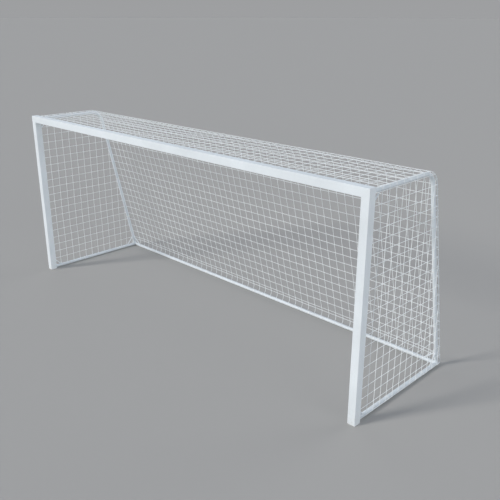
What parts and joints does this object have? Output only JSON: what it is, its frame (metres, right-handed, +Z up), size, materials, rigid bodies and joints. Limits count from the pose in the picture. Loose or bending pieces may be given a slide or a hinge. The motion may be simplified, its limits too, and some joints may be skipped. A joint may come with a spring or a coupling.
{
  "type": "soccer goal",
  "caption": "Free-standing small-pitch soccer goal: mitred square-profile frame, bent tubular net stays, ground frame with braced corners and a full net.",
  "frame": {"origin": "on the ground, under the middle of the goal's overall length and depth", "axes": "+X to the right along the crossbar seen from the pitch, +Y towards the back net, +Z up; the mouth faces -Y"},
  "size_m": [5.16, 1.4498, 2.08],
  "materials": {
    "white_profile": "white powder coat on aluminium, satin",
    "white_tube": "white powder coat on aluminium, satin",
    "foot_plastic": "moulded, matt",
    "clip_plastic": "moulded, matt",
    "net_cord": "braided white cord",
    "cast_aluminium": "as cast",
    "zinc_steel": "zinc plated"
  },
  "bodies": {
    "root": {"crossbar": "white_profile", "left_bar_net_clip_1": "clip_plastic", "left_bar_net_clip_2": "clip_plastic", "left_bar_slot_bolt": "zinc_steel", "left_bar_spigot": "white_tube", "left_connector_screw_1": "zinc_steel", "left_connector_screw_2": "zinc_steel", "left_connector_screw_3": "zinc_steel", "left_connector_screw_4": "zinc_steel", "left_corner_connector": "cast_aluminium", "left_foot_brace": "white_tube", "left_foot_cap": "foot_plastic", "left_ground_bar": "white_tube", "left_net_stay": "white_tube", "left_post": "white_profile", "left_rear_brace": "white_tube", "left_rear_corner": "white_tube", "left_side_brace": "white_tube", "left_side_net": "net_cord", "left_stay_net_clip_1": "clip_plastic", "left_stay_net_clip_2": "clip_plastic", "left_stay_net_clip_3": "clip_plastic", "left_stay_slot_bolt": "zinc_steel", "left_stay_spigot": "white_tube", "left_top_brace": "white_tube", "left_upper_net_clip": "clip_plastic", "main_net": "net_cord", "rear_bar_net_clip_1": "clip_plastic", "rear_bar_net_clip_2": "clip_plastic", "rear_bar_net_clip_3": "clip_plastic", "rear_bar_net_clip_4": "clip_plastic", "rear_bar_net_clip_5": "clip_plastic", "rear_ground_bar": "white_tube", "right_bar_net_clip_1": "clip_plastic", "right_bar_net_clip_2": "clip_plastic", "right_bar_slot_bolt": "zinc_steel", "right_bar_spigot": "white_tube", "right_connector_screw_1": "zinc_steel", "right_connector_screw_2": "zinc_steel", "right_connector_screw_3": "zinc_steel", "right_connector_screw_4": "zinc_steel", "right_corner_connector": "cast_aluminium", "right_foot_brace": "white_tube", "right_foot_cap": "foot_plastic", "right_ground_bar": "white_tube", "right_net_stay": "white_tube", "right_post": "white_profile", "right_rear_brace": "white_tube", "right_rear_corner": "white_tube", "right_side_brace": "white_tube", "right_side_net": "net_cord", "right_stay_net_clip_1": "clip_plastic", "right_stay_net_clip_2": "clip_plastic", "right_stay_net_clip_3": "clip_plastic", "right_stay_slot_bolt": "zinc_steel", "right_stay_spigot": "white_tube", "right_top_brace": "white_tube", "right_upper_net_clip": "clip_plastic"}
  },
  "joints": []
}
